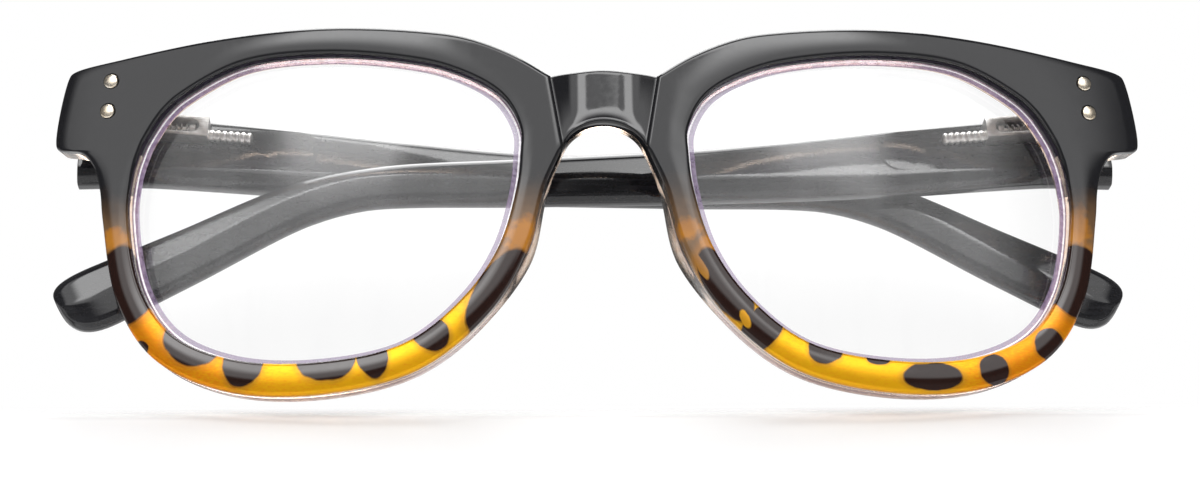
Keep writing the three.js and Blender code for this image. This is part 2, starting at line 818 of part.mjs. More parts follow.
// Materials
const colours = {
  front: { color: 0x17120f, roughness: 0.18, metalness: 0 },
  lens: { color: 0xe8eaf0, roughness: 0.05, metalness: 0, transparent: true, opacity: 0.25 },
  rivet: { color: 0xd9d2c3, roughness: 0.25, metalness: 1 },
  temple: { color: 0x101012, roughness: 0.2, metalness: 0 },
  hinge: { color: 0xa8a49c, roughness: 0.3, metalness: 1 },
  spring: { color: 0x8d8a86, roughness: 0.35, metalness: 1 },
};

function piece(name, geometry, look) {
  const mesh = new THREE.Mesh(geometry, new THREE.MeshStandardMaterial(colours[look]));
  mesh.name = name;
  return mesh;
}

// One side of the glasses, drawn on the wearer's left; the other side is its mirror image.
function sideOf(name, lean, fold) {
  const side = new THREE.Group();
  side.add(piece(name + "_lens", lensBody(), "lens"));
  rivetPlaces(lean).forEach((rivet, i) => {
    side.add(piece(name + ["_upper_rivet", "_lower_rivet"][i], rivetBody(rivet), "rivet"));
  });
  const fixed = new THREE.Group();
  fixed.applyMatrix4(hingeFrame(lean, 0));
  fixed.add(piece(name + "_front_leaf", frontLeaf(lean), "hinge"));
  fixed.add(piece(name + "_hinge_screw", hingeScrew(), "hinge"));
  const folded = new THREE.Group();
  folded.applyMatrix4(hingeFrame(lean, fold));
  folded.add(piece(name + "_slider", slider(), "hinge"));
  folded.add(piece(name + "_rod_collar", rodCollar(), "hinge"));
  folded.add(piece(name + "_spring", coilSpring(), "spring"));
  folded.add(piece(name + "_spring_housing", springHousing(), "hinge"));
  folded.add(piece(name + "_temple", temple(), "temple"));
  side.add(fixed, folded);
  return side;
}

const body = new THREE.Group();
body.add(piece("front_frame", geometryOf(frontBody), "front"));
body.add(sideOf("left", leftHingeLean, leftFold));
const rightSide = sideOf("right", rightHingeLean, rightFold);
rightSide.scale.x = -1;
body.add(rightSide);

// The origin stands under the middle of the whole.
const glasses = new THREE.Group();
glasses.name = "square_reading_glasses";
glasses.add(body);
glasses.updateMatrixWorld(true);
const bounds = new THREE.Box3().setFromObject(body, true);
const middle = bounds.getCenter(new THREE.Vector3());
body.position.set(-middle.x, -middle.y, -bounds.min.z);
glasses.updateMatrixWorld(true);

console.log("spring: least gap between its own turns " + springSelfGap().toFixed(3) + " mm");

export default glasses;
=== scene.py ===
import json
import math
import bpy
from mathutils import Matrix, Vector

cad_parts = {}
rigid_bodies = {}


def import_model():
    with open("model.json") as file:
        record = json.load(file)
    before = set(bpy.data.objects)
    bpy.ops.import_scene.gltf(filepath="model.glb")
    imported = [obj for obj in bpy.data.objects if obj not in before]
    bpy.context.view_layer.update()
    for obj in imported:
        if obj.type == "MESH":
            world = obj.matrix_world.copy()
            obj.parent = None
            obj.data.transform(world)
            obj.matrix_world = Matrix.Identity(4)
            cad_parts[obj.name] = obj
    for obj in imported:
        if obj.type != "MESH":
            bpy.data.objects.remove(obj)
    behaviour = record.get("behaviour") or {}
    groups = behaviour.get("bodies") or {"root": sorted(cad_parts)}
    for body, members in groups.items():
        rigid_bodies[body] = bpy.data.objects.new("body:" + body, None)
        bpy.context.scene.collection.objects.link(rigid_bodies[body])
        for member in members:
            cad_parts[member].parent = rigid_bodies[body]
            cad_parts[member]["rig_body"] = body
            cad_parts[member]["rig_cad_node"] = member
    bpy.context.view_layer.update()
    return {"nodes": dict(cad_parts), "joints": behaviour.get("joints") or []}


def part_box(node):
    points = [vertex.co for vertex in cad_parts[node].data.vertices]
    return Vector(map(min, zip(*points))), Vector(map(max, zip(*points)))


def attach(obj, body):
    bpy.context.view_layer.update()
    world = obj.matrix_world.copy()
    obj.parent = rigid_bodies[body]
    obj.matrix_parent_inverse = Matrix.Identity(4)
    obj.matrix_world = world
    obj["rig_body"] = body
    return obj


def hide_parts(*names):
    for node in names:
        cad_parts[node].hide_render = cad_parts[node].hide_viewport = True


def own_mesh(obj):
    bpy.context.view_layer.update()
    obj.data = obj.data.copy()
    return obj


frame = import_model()

# square reading glasses, folded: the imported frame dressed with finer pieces, finishes, lights and a camera
nodes = frame["nodes"]
joints = {joint["name"]: joint for joint in frame["joints"]}
mm = 0.001
sides = ("left", "right")


# helpers for working on one piece at a time

def pickOnly(obj):
    bpy.ops.object.select_all(action="DESELECT")
    obj.select_set(True)
    bpy.context.view_layer.objects.active = obj


def nameIt(obj, name):
    obj.name = name
    obj.data.name = name
    return obj


def editAll(obj):
    pickOnly(obj)
    bpy.ops.object.mode_set(mode="EDIT")
    bpy.ops.mesh.select_mode(type="VERT")
    bpy.ops.mesh.select_all(action="SELECT")


def doneEdit():
    bpy.ops.object.mode_set(mode="OBJECT")


def faceOutward(obj):
    editAll(obj)
    bpy.ops.mesh.normals_make_consistent(inside=False)
    doneEdit()


def copyOf(obj, name):
    pickOnly(obj)
    bpy.ops.object.duplicate()
    return nameIt(bpy.context.object, name)


def applyModifier(obj, kind, **values):
    pickOnly(obj)
    mod = obj.modifiers.new(kind.lower(), kind)
    for key, value in values.items():
        setattr(mod, key, value)
    bpy.ops.object.modifier_apply(modifier=mod.name)


copyShape = {"merge": 0.002, "flatAngle": 1.0}      # mm, degrees


def copyOfNode(node, name):
    # a merged copy of a CAD solid, its flat triangles joined into whole faces
    obj = copyOf(nodes[node], name)
    obj.parent = None
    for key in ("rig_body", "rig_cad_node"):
        del obj[key]
    obj.data.materials.clear()
    editAll(obj)
    bpy.ops.mesh.remove_doubles(threshold=copyShape["merge"] * mm)
    bpy.ops.mesh.dissolve_limited(angle_limit=math.radians(copyShape["flatAngle"]))
    doneEdit()
    return obj


def smoothByAngle(obj, angle):
    pickOnly(obj)
    bpy.ops.object.shade_smooth_by_angle(angle=math.radians(angle))


def splitLargeFaces(obj):
    # the many-sided faces that booleans leave become triangles, two to each edge
    editAll(obj)
    bpy.ops.mesh.select_mode(type="FACE")
    bpy.ops.mesh.select_face_by_sides(number=4, type="GREATER", extend=False)
    bpy.ops.mesh.quads_convert_to_tris(quad_method="BEAUTY", ngon_method="BEAUTY")
    doneEdit()


def softenEdges(obj, width, angle, segments):
    applyModifier(obj, "BEVEL", width=width * mm, segments=segments, limit_method="ANGLE",
                  angle_limit=math.radians(angle), use_clamp_overlap=True, harden_normals=False)


def finishPiece(obj, material, body, slot, *replaced):
    obj.data.materials.clear()
    obj.data.materials.append(material)
    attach(obj, body)
    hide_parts(*replaced)


def hingeAxes(side):
    # pin, the way along the folded temple, the way in from the temple's face, and the pin's own axis
    fold = joints[side + "_temple_fold"]
    along = Vector(joints[side + "_spring_slide"]["axis"]).normalized()
    up = Vector(fold["axis"]).normalized()
    up = up if up.z > 0 else -up
    inward = up.cross(along)
    inward = inward if inward.y < 0 else -inward
    return Vector(fold["pos_m"]), along, inward, up


class Wire:
    # a socket that takes plain arithmetic
    def __init__(self, tree, socket=None):
        self.tree = tree
        self.socket = socket

    def add(self, kind, settings=None, inputs=None, output=0):
        node = self.tree.nodes.new(kind)
        for key, value in (settings or {}).items():
            setattr(node, key, value)
        for key, value in (inputs or {}).items():
            if isinstance(value, Wire):
                self.tree.links.new(value.socket, node.inputs[key])
            else:
                node.inputs[key].default_value = value
        return Wire(self.tree, node.outputs[output] if len(node.outputs) else None)

    def maths(self, operation, first, second=0.0):
        return self.add("ShaderNodeMath", {"operation": operation}, {0: first, 1: second})

    def __add__(self, other):
        return self.maths("ADD", self, other)

    def __sub__(self, other):
        return self.maths("SUBTRACT", self, other)

    def __rsub__(self, other):
        return self.maths("SUBTRACT", other, self)

    def __mul__(self, other):
        return self.maths("MULTIPLY", self, other)

    def __truediv__(self, other):
        return self.maths("DIVIDE", self, other)

    def least(self, other):
        return self.maths("MINIMUM", self, other)

    def most(self, other):
        return self.maths("MAXIMUM", self, other)

    def ease(self, low, high, atLow=0.0, atHigh=1.0):
        return self.add("ShaderNodeMapRange", {"interpolation_type": "SMOOTHSTEP"},
                        {"Value": self, "From Min": low, "From Max": high,
                         "To Min": atLow, "To Max": atHigh})

    def tint(self, first, second):
        # first colour where this is 0, second where it is 1
        return self.add("ShaderNodeMix", {"data_type": "RGBA"},
                        {0: self, 6: first, 7: second}, 2)

    def noise(self, place, scale, detail, output="Fac"):
        return self.add("ShaderNodeTexNoise", {}, {"Vector": place, "Scale": scale, "Detail": detail}, output)

    def stretched(self, place, shares):
        return self.add("ShaderNodeMapping", {}, {"Vector": place, "Scale": shares})

    def vectors(self, operation, first, second):
        return self.add("ShaderNodeVectorMath", {"operation": operation}, {0: first, 1: second})

    def scaled(self, vector, size):
        return self.add("ShaderNodeVectorMath", {"operation": "SCALE"}, {0: vector, "Scale": size})

    def bump(self, height, strength, distance):
        return self.add("ShaderNodeBump", {},
                        {"Strength": strength, "Distance": distance, "Height": height}, "Normal")

    def principled(self, inputs):
        return self.add("ShaderNodeBsdfPrincipled", {}, inputs)

    def mixed(self, share, first, second):
        # first shader where the share is 0, second where it is 1
        return self.add("ShaderNodeMixShader", {}, {0: share, 1: first, 2: second})

    def millimetres(self):
        return self.scaled(self.add("ShaderNodeTexCoord", {}, {}, "Object"), 1 / mm)

    def parts(self, vector):
        split = self.tree.nodes.new("ShaderNodeSeparateXYZ")
        self.tree.links.new(vector.socket, split.inputs[0])
        return [Wire(self.tree, out) for out in split.outputs]

    def surface(self, shader):
        self.add("ShaderNodeOutputMaterial", {}, {"Surface": shader})


def newMaterial(name):
    mat = bpy.data.materials.new(name)
    mat.use_nodes = True
    mat.node_tree.nodes.clear()
    return mat, Wire(mat.node_tree)


# finishes

frontFinish = {
    "black": (0.011, 0.011, 0.013, 1),
    "blotchBrown": (0.018, 0.006, 0.004, 1),
    "umber": (0.20, 0.11, 0.05, 1),         # where the black thins
    "rust": (0.48, 0.19, 0.022, 1),
    "amber": (0.95, 0.31, 0.0, 1),
    "honey": (1.0, 0.53, 0.0, 1),
    "fadeTop": 28.5, "fadeFoot": 20.0,      # the black goes between these heights, mm
    "goldTop": 18.5, "goldFoot": 8.5,       # the gold comes between these
    "goldSide": (36.0, 56.0),               # away from the nose the gold turns orange
    "goldSatin": 0.26, "goldThrough": 0.2, "goldGlint": 0.55,       # softer, lit through and flaked
    "goldMix": (0.4, 0.8, 0.4), "goldEdge": (0.55, 1.05),           # cloud, grain and place; amber to honey
    "wander": 0.9, "wanderScale": 0.30,     # how far blotch edges stray, mm
    "fadeWander": 6.0,                      # how far the fade strays, mm
    "blotchEdge": (0.95, 1.06), "notchEdge": (0.85, 1.1), "halo": (1.0, 1.3), "glowEdge": (0.6, 1.3),
    "polish": (0.05, 0.11), "ripple": (0.04, 0.0004), "bend": 1.52,     # bend: refraction index
}
# blotches of the tortoiseshell: x, z, half width, half height in mm, lean in degrees
blotches = [
    (-60.6, 14.6, 4.2, 5.2, 0), (-51.6, 6.9, 3.7, 2.6, -27), (-44.9, 4.4, 2.6, 3.3, -8),
    (-34.6, 4.4, 3.7, 2.8, 6), (-29.0, 4.7, 1.9, 2.9, 12), (-21.8, 7.4, 2.1, 2.6, 40),
    (-57.7, 6.7, 0.9, 0.8, 0), (-13.6, 12.6, 2.8, 6.2, -32),
    (14.9, 13.4, 2.4, 5.4, 32), (19.3, 8.0, 2.2, 3.2, -42), (27.1, 5.5, 2.1, 2.1, -14),
    (33.8, 4.3, 1.6, 0.9, -6), (40.6, 2.1, 3.8, 1.7, 2), (48.6, 3.2, 1.8, 2.0, 12),
    (56.0, 6.7, 2.0, 2.0, 20), (60.3, 15.2, 4.0, 4.8, 0),
]
# notches of gold cut into them, and orange patches in the fading zone, set out the same way
notches = [(17.2, 9.1, 0.55, 1.25, 25), (11.9, 15.8, 0.5, 2.1, 25)]
glows = [
    (-10.3, 19.6, 2.6, 2.3, 0), (10.4, 20.6, 1.6, 1.3, 0), (12.9, 18.1, 1.3, 1.9, 20),
    (-61.8, 20.8, 1.6, 1.5, 0), (60.9, 22.6, 1.5, 3.0, 0),
]


def nearest(wire, place, spots):
    # how far from the closest spot, 1 on its rim
    reach = None
    for x, z, halfWidth, halfHeight, lean in spots:
        spot = wire.add("ShaderNodeMapping", {"vector_type": "TEXTURE"},
                        {"Vector": place, "Location": (x, 0, z), "Rotation": (0, math.radians(-lean), 0),
                         "Scale": (halfWidth, 1e6, halfHeight)})       # depth does not count
        spot = wire.add("ShaderNodeVectorMath", {"operation": "LENGTH"}, {0: spot}, "Value")
        reach = spot if reach is None else reach.least(spot)
    return reach


def makeTortoise():
    mat, wire = newMaterial("blackToTortoise")
    look = frontFinish
    place = wire.millimetres()
    stray = wire.vectors("SUBTRACT", wire.noise(place, look["wanderScale"], 2.0, "Color"), (0.5, 0.5, 0.5))
    stray = wire.scaled(stray, look["wander"])
    strayed = wire.vectors("ADD", place, stray)
    reach = nearest(wire, strayed, blotches)
    blotch = reach.ease(*look["blotchEdge"], 1.0, 0.0)
    blotch = blotch * nearest(wire, strayed, notches).ease(*look["notchEdge"])
    halo = reach.ease(*look["halo"], 1.0, 0.0)
    glow = nearest(wire, wire.vectors("ADD", strayed, stray), glows)
    glow = (glow + wire.noise(place, 1.2, 3.0) - 0.5).ease(*look["glowEdge"], 1.0, 0.0)
    height = wire.parts(strayed)[2] + (wire.noise(place, 0.20, 3.0) - 0.5) * look["fadeWander"]
    fade = height.ease(look["fadeFoot"], look["fadeTop"], 1.0, 0.0)
    gold = height.ease(look["goldFoot"], look["goldTop"], 1.0, 0.0)
    grain = wire.noise(wire.stretched(place, (0.35, 1, 1)), 5.0, 4.0)
    cloud = wire.noise(place, 0.16, 3.0)
    middle = wire.maths("ABSOLUTE", wire.parts(place)[0]).ease(*look["goldSide"], 1.0, 0.0)
    byCloud, byGrain, byPlace = look["goldMix"]
    warm = (cloud * byCloud + grain * byGrain + middle * byPlace).ease(*look["goldEdge"])
    warm = warm.tint(look["amber"], look["honey"])
    warm = gold.tint(look["umber"], warm)
    warm = (halo * 0.5).most(glow).tint(warm, look["rust"])
    warm = fade.tint(look["black"], warm)
    colour = blotch.tint(warm, look["blotchBrown"])
    through = gold * fade * (1.0 - blotch)
    polish = wire.noise(place, 1.4, 4.0).ease(0.3, 0.75, *look["polish"]) + through * look["goldSatin"]
    bump = wire.bump(wire.noise(place, 0.16, 1.0), *look["ripple"])
    solid = wire.principled({"Base Color": colour, "Roughness": polish, "Normal": bump, "IOR": look["bend"],
                             "Metallic": through * look["goldGlint"]})
    lit = wire.add("ShaderNodeBsdfTranslucent", {}, {"Color": warm})
    wire.surface(wire.mixed(through * look["goldThrough"], solid, lit))
    return mat


clearFinish = {"tone": (0.98, 0.83, 0.72, 1), "toneDeep": (0.92, 0.66, 0.48, 1), "polish": (0.05, 0.14),
               "grain": (0.12, 0.0001), "bend": 1.45}


def makeClear():
    mat, wire = newMaterial("champagneClear")
    look = clearFinish
    place = wire.millimetres()
    haze = wire.noise(place, 1.1, 3.0)
    colour = haze.ease(0.3, 0.7).tint(look["tone"], look["toneDeep"])
    bump = wire.bump(wire.noise(place, 7.0, 3.0), *look["grain"])
    polish = haze.ease(0.3, 0.7, *look["polish"])
    wire.surface(wire.principled({"Base Color": colour, "Roughness": polish, "Normal": bump,
                                  "IOR": look["bend"], "Transmission Weight": 1.0}))
    return mat


lensFinish = {
    "haze": (0.80, 0.82, 0.85, 1), "smear": 0.02, "speck": 0.03, "gloss": 0.5, "bend": 1.6, "coatBend": 1.62,
    # mauve and mauveDeep paint the coated rim's reflection; line and lineDeep paint a highlight along the
    # rim; edgeTint tints what shows through them
    "mauve": (0.40, 0.31, 0.46, 1), "mauveDeep": (0.26, 0.18, 0.33, 1),
    "line": (0.95, 0.93, 0.95, 1), "lineDeep": (0.80, 0.76, 0.80, 1),
    "edgeTint": (0.93, 0.90, 0.97, 1),
}
white = (1, 1, 1, 1)


def makeLens():
    mat, wire = newMaterial("coatedLens")
    look = lensFinish
    place = wire.millimetres()
    smear = wire.noise(wire.stretched(place, (0.5, 1, 0.06)), 0.6, 4.0)
    speck = wire.noise(place, 3.0, 5.0)
    veil = smear.ease(0.35, 0.75, 0.0, look["smear"]) + speck.ease(0.66, 0.8, 0.0, look["speck"])
    gloss = wire.add("ShaderNodeFresnel", {}, {"IOR": look["coatBend"]})
    film = wire.principled({"Base Color": look["haze"], "Roughness": 0.03, "IOR": look["bend"]})
    mirror = wire.add("ShaderNodeBsdfGlossy", {}, {"Color": white, "Roughness": 0.02})
    clear = wire.add("ShaderNodeBsdfTransparent", {}, {"Color": white})
    wire.surface(wire.mixed(gloss * look["gloss"], wire.mixed(veil, clear, film), mirror))
    return mat


def makeLensEdge(name, deep, pale, thin, thick, paintedGlow):
    # paintedGlow: emission strength, a painted glow on the lens rim bands, which are no lamp
    mat, wire = newMaterial(name)
    patchy = wire.noise(wire.millimetres(), 1.6, 3.0)
    colour = patchy.ease(0.3, 0.7).tint(deep, pale)
    # the band's colour is also emitted: painted light, so it stays bright where the rim shades it
    film = wire.principled({"Base Color": colour, "Roughness": 0.15, "IOR": lensFinish["bend"],
                            "Emission Color": colour, "Emission Strength": paintedGlow})
    clear = wire.add("ShaderNodeBsdfTransparent", {}, {"Color": lensFinish["edgeTint"]})
    wire.surface(wire.mixed(patchy.ease(0.2, 0.8, thin, thick), clear, film))
    return mat


templeFinish = {"black": (0.012, 0.012, 0.014, 1), "worn": (0.022, 0.022, 0.025, 1), "polish": (0.05, 0.085),
                "ripple": (0.012, 0.0001), "bend": 1.52}


def makeTemple():
    mat, wire = newMaterial("polishedBlack")
    look = templeFinish
    place = wire.millimetres()
    streak = wire.noise(wire.stretched(place, (0.05, 1.2, 1.2)), 2.0, 4.0)
    speck = wire.noise(place, 4.0, 4.0)
    colour = (streak * 0.6 + speck * 0.4).ease(0.42, 0.72).tint(look["black"], look["worn"])
    polish = streak.ease(0.3, 0.8, *look["polish"])
    bump = wire.bump(streak, *look["ripple"])
    wire.surface(wire.principled({"Base Color": colour, "Roughness": polish, "Normal": bump,
                                  "IOR": look["bend"]}))
    return mat


metalGrain = (0.15, 0.00003)


def makeMetal(name, pale, deep, lowPolish, highPolish, along=(1, 1, 1)):
    mat, wire = newMaterial(name)
    place = wire.millimetres()
    drawn = wire.noise(wire.stretched(place, along), 6.0, 4.0)
    dull = wire.noise(place, 1.3, 3.0)
    colour = (drawn * 0.5 + dull * 0.5).ease(0.35, 0.7).tint(pale, deep)
    polish = drawn.ease(0.25, 0.8, lowPolish, highPolish)
    bump = wire.bump(drawn, *metalGrain)
    wire.surface(wire.principled({"Base Color": colour, "Roughness": polish, "Normal": bump,
                                  "Metallic": 1.0}))
    return mat


tortoise = makeTortoise()
champagne = makeClear()
coatedLens = makeLens()
# the mauve band is a painted reflection and the pale line a painted highlight, each given a painted glow
lensRimReflection = makeLensEdge("lensRimReflection", lensFinish["mauveDeep"], lensFinish["mauve"], 0.50, 0.68, 0.15)
lensRimHighlight = makeLensEdge("lensRimHighlight", lensFinish["lineDeep"], lensFinish["line"], 0.75, 0.90, 0.6)
polishedBlack = makeTemple()
rivetMetal = makeMetal("paleRivet", (0.98, 0.90, 0.78, 1), (0.82, 0.68, 0.50, 1), 0.22, 0.38)
hingeMetal = makeMetal("satinNickel", (0.88, 0.86, 0.84, 1), (0.68, 0.66, 0.63, 1), 0.36, 0.52, (0.15, 1, 1))
wireMetal = makeMetal("drawnWire", (0.66, 0.64, 0.62, 1), (0.34, 0.32, 0.31, 1), 0.20, 0.38)
print("finishes made")


# skins drawn through rows of points

def curveThrough(points, step, closed):
    # a smooth curve through the points; step counts along them
    count = len(points)
    start = int(math.floor(step))
    if not closed:
        start = min(max(start, 0), count - 2)
    part = step - start

    def pick(i):
        if closed:
            return points[i % count]
        if i < 0:
            return points[0] * 2 - points[1]
        return points[i] if i < count else points[-1] * 2 - points[-2]

    before, near, far, after = (pick(start + i) for i in (-1, 0, 1, 2))
    gaps = [math.sqrt((b - a).length) or 1.0 for a, b in ((before, near), (near, far), (far, after))]
    leave = (near - before) / gaps[0] - (far - before) / (gaps[0] + gaps[1]) + (far - near) / gaps[1]
    arrive = (far - near) / gaps[1] - (after - near) / (gaps[1] + gaps[2]) + (after - far) / gaps[2]
    leave, arrive = leave * gaps[1], arrive * gaps[1]
    square = (far - near) * 3 - leave * 2 - arrive
    cube = (near - far) * 2 + leave + arrive
    return near + leave * part + square * part ** 2 + cube * part ** 3


def skinOver(name, rows, closed=False):
    # rows of equal length, each a closed ring of points in mm; the rows close on themselves or get end caps
    size = len(rows[0])
    points = [Vector(point) * mm for row in rows for point in row]
    faces = []
    for i in range(len(rows) if closed else len(rows) - 1):
        near, far = i * size, (i + 1) % len(rows) * size
        for j in range(size):
            k = (j + 1) % size
            faces.append((near + j, near + k, far + k, far + j))
    if not closed:
        faces.append(tuple(range(size)))
        faces.append(tuple(range(len(points) - size, len(points))))
    mesh = bpy.data.meshes.new(name)
    mesh.from_pydata(points, [], faces)
    obj = bpy.data.objects.new(name, mesh)
    bpy.context.collection.objects.link(obj)
    faceOutward(obj)
    return obj


def onBothSides(leftPiece, rightName):
    # a piece that is modelled once and placed on each side
    return {"left": leftPiece, "right": copyOf(leftPiece, rightName)}


def mirroredCopy(obj, name):
    copy = copyOf(obj, name)
    for vert in copy.data.vertices:
        vert.co.x = -vert.co.x
    faceOutward(copy)
    return copy


def combine(obj, operation, other):
    applyModifier(obj, "BOOLEAN", operation=operation, object=other, solver="EXACT")
    bpy.data.objects.remove(other)


def blockOf(name, low, high):
    # a cube primitive stretched between two corners in mm
    bpy.ops.object.select_all(action="DESELECT")
    low, high = Vector(low), Vector(high)
    bpy.ops.mesh.primitive_cube_add(size=1, location=(low + high) / 2 * mm, scale=(high - low) * mm)
    obj = nameIt(bpy.context.object, name)
    bpy.ops.object.transform_apply(location=True, rotation=True, scale=True)
    return obj


def arcSteps(count):
    return [math.pi / 2 * i / count for i in range(count + 1)]


# front: an opaque coloured layer over a clear back layer, drawn flat and bent round the face

frontShape = {
    "bendRadius": 350.0, "faceY": -12.2656, "middleX": -0.0106, "footZ": 0.1225,     # mm
    "lensWidth": 49.8, "lensHeight": 40.5, "bridgeGap": 21.3, "rimDepth": 4.6,
    "innerRound": 0.45, "outerRound": 0.6, "backRound": 0.6, "roundSteps": 5, "backSteps": 4, "faceSteps": 9,
    "crownLow": 0.15, "crownHigh": 0.06, "crownFoot": 10.0, "crownReach": 24.0,
    "backFall": (0.72, 0.45), "rearEdge": 0.4, "rearEdgeMiddle": 0.12,
    "creaseTopHalf": 6.8, "creaseBottomHalf": 5.2, "creaseTop": 40.95, "creaseHeight": 9.3,
    "bridgeRise": 1.4, "archRise": 3.3, "archTurn": 0.81, "archDepths": (2.4, 3.3),
    "bridgeOver": 1.12, "bridgeSteps": 72, "bridgeEdge": 0.6,
    "bridgeFront": (0.4, 0.38), "bridgeRear": (0.5, 0.4), "panelHalf": 3.0, "recess": 1.5,
    "panelSoft": 0.42, "panelSteps": 20, "panelLean": 0.6, "panelLip": 0.22, "panelLipShare": 0.28,
    "padDepth": 2.2, "padFlare": 0.5, "padHeight": 20.0, "padReach": 11.0,
    "padSide": ((0.3, 1.9), (0.8, 3.2)),
    "grooveDepth": 2.9, "grooveHalf": 0.87, "grooveReach": 0.84,
    "stepsPerStation": 9, "tangentStep": 0.0025, "creaseAngle": 32,
    "colourDepth": 1.05, "layerGap": 0.02, "layerReach": 80, "layerFoot": -2, "layerTop": 52,
    # the black reaches back to the lens
    "deepColour": 2.7, "deepReach": 59.7, "deepStart": 0.4, "deepFoot": 13.5, "deepTop": 51,
    "deepSlope": 13.5, "deepMiddle": (2.0, 30.0),
}
# round one opening: shares of its half width and half height, then the rim's width or its outer corner
rimStations = [
    (-0.934, 0.649, (6.8, 40.95)), (-0.843, 0.756, 5.3), (-0.657, 0.872, 4.733), (-0.472, 0.936, 4.167),
    (0, 1, 3.6), (0.448, 0.951, 4.0), (0.753, 0.758, (62.0, 45.1)), (0.823, 0.681, (68.55, 43.65)),
    (0.865, 0.615, (69.15, 43.0)), (0.926, 0.489, (70.45, 34.0)), (0.942, 0.447, (70.0, 33.15)),
    (0.962, 0.375, (66.9, 32.5)), (0.978, 0.309, (65.2, 30.4)), (0.994, 0.193, (64.35, 27.6)),
    (1, -0.02, 3.4), (0.918, -0.496, 3.4), (0.749, -0.793, 3.75), (0.448, -0.963, 4.0), (0.02, -1, 4.0),
    (-0.424, -0.889, 3.75), (-0.727, -0.588, 3.75), (-0.894, -0.269, 3.5), (-0.982, 0.116, 3.5),
    (-0.999, 0.314, (5.2, 31.65)), (-1, 0.472, None),
]
rimSteps = len(rimStations) * frontShape["stepsPerStation"]
rimFoot = 4.0       # mm from the floor to the opening


def flatX(x):
    return frontShape["bendRadius"] * math.asin(x / frontShape["bendRadius"])


lensMiddleX = (frontShape["bridgeGap"] + frontShape["lensWidth"]) / 2
lensMiddleZ = rimFoot + frontShape["lensHeight"] / 2
openingPoints = [Vector((flatX(lensMiddleX + across * frontShape["lensWidth"] / 2), 0,
                         lensMiddleZ + up * frontShape["lensHeight"] / 2)) for across, up, rim in rimStations]


def openingAt(step):
    return curveThrough(openingPoints, step, True)


def outwardAt(step):
    small = frontShape["tangentStep"]
    run = (openingAt(step + small) - openingAt(step - small)).normalized()
    return Vector((-run.z, 0, run.x))


outlinePoints = []
for i, (across, up, rim) in enumerate(rimStations[:-1]):
    if isinstance(rim, tuple):
        outlinePoints.append(Vector((flatX(rim[0]), 0, rim[1])))
    else:
        outlinePoints.append(openingPoints[i] + outwardAt(i) * rim)


def outlineAt(step):
    past = step - (len(outlinePoints) - 1)
    if past < 0:
        return curveThrough(outlinePoints, step, False)
    return outlinePoints[-1].lerp(outlinePoints[0], past / 2)


def rimSection(step):
    look = frontShape
    inner, outer, outward = openingAt(step), outlineAt(step), outwardAt(step)
    across = outer - inner
    width = across.length
    across.normalize()
    lean = (outer.z - look["padHeight"]) / look["padReach"]
    pad = 0.0 if outward.x > 0 or abs(lean) > 1 else math.cos(lean * math.pi / 2) ** 2
    flare = look["padFlare"] * pad
    back = look["rimDepth"] + look["padDepth"] * pad
    innerRound, outerRound, backRound = look["innerRound"], look["outerRound"], look["backRound"]
    row = [(innerRound - innerRound * math.cos(turn), innerRound - innerRound * math.sin(turn))
           for turn in arcSteps(look["roundSteps"])]
    faceStart, faceEnd = innerRound, width - outerRound
    climb = min(max((inner.z - look["crownFoot"]) / look["crownReach"], 0), 1)
    crown = look["crownLow"] + (look["crownHigh"] - look["crownLow"]) * climb
    for i in range(1, look["faceSteps"]):
        share = i / look["faceSteps"]
        row.append((faceStart + (faceEnd - faceStart) * share, -crown * 4 * share * (1 - share)))
    row += [(faceEnd + outerRound * math.sin(turn), outerRound - outerRound * math.cos(turn))
            for turn in arcSteps(look["roundSteps"])]
    row += [(width + flare * share, depth) for share, depth in look["padSide"]]
    row += [(width + flare - backRound + backRound * math.cos(turn),
             back - backRound + backRound * math.sin(turn)) for turn in arcSteps(look["backSteps"])]
    fallAt, flatAt = look["backFall"]
    rear, rearMiddle, rimDepth = look["rearEdge"], look["rearEdgeMiddle"], look["rimDepth"]
    row += [(width * fallAt, (back + rimDepth) / 2), (width * flatAt, rimDepth), (rear, rimDepth),
            (rearMiddle, rimDepth - rearMiddle), (0, rimDepth - rear),
            (0, look["grooveDepth"] + look["grooveHalf"])]
    points = [inner + across * reach + Vector((0, depth, 0)) for reach, depth in row]
    points.append(inner + outward * look["grooveReach"] + Vector((0, look["grooveDepth"], 0)))
    points.append(inner + Vector((0, look["grooveDepth"] - look["grooveHalf"], 0)))
    return points


def softLeast(a, b, soft):
    # the lesser of two, rounded off where they are close
    near = max(soft - abs(a - b), 0) / soft
    return min(a, b) - near * near * soft / 4


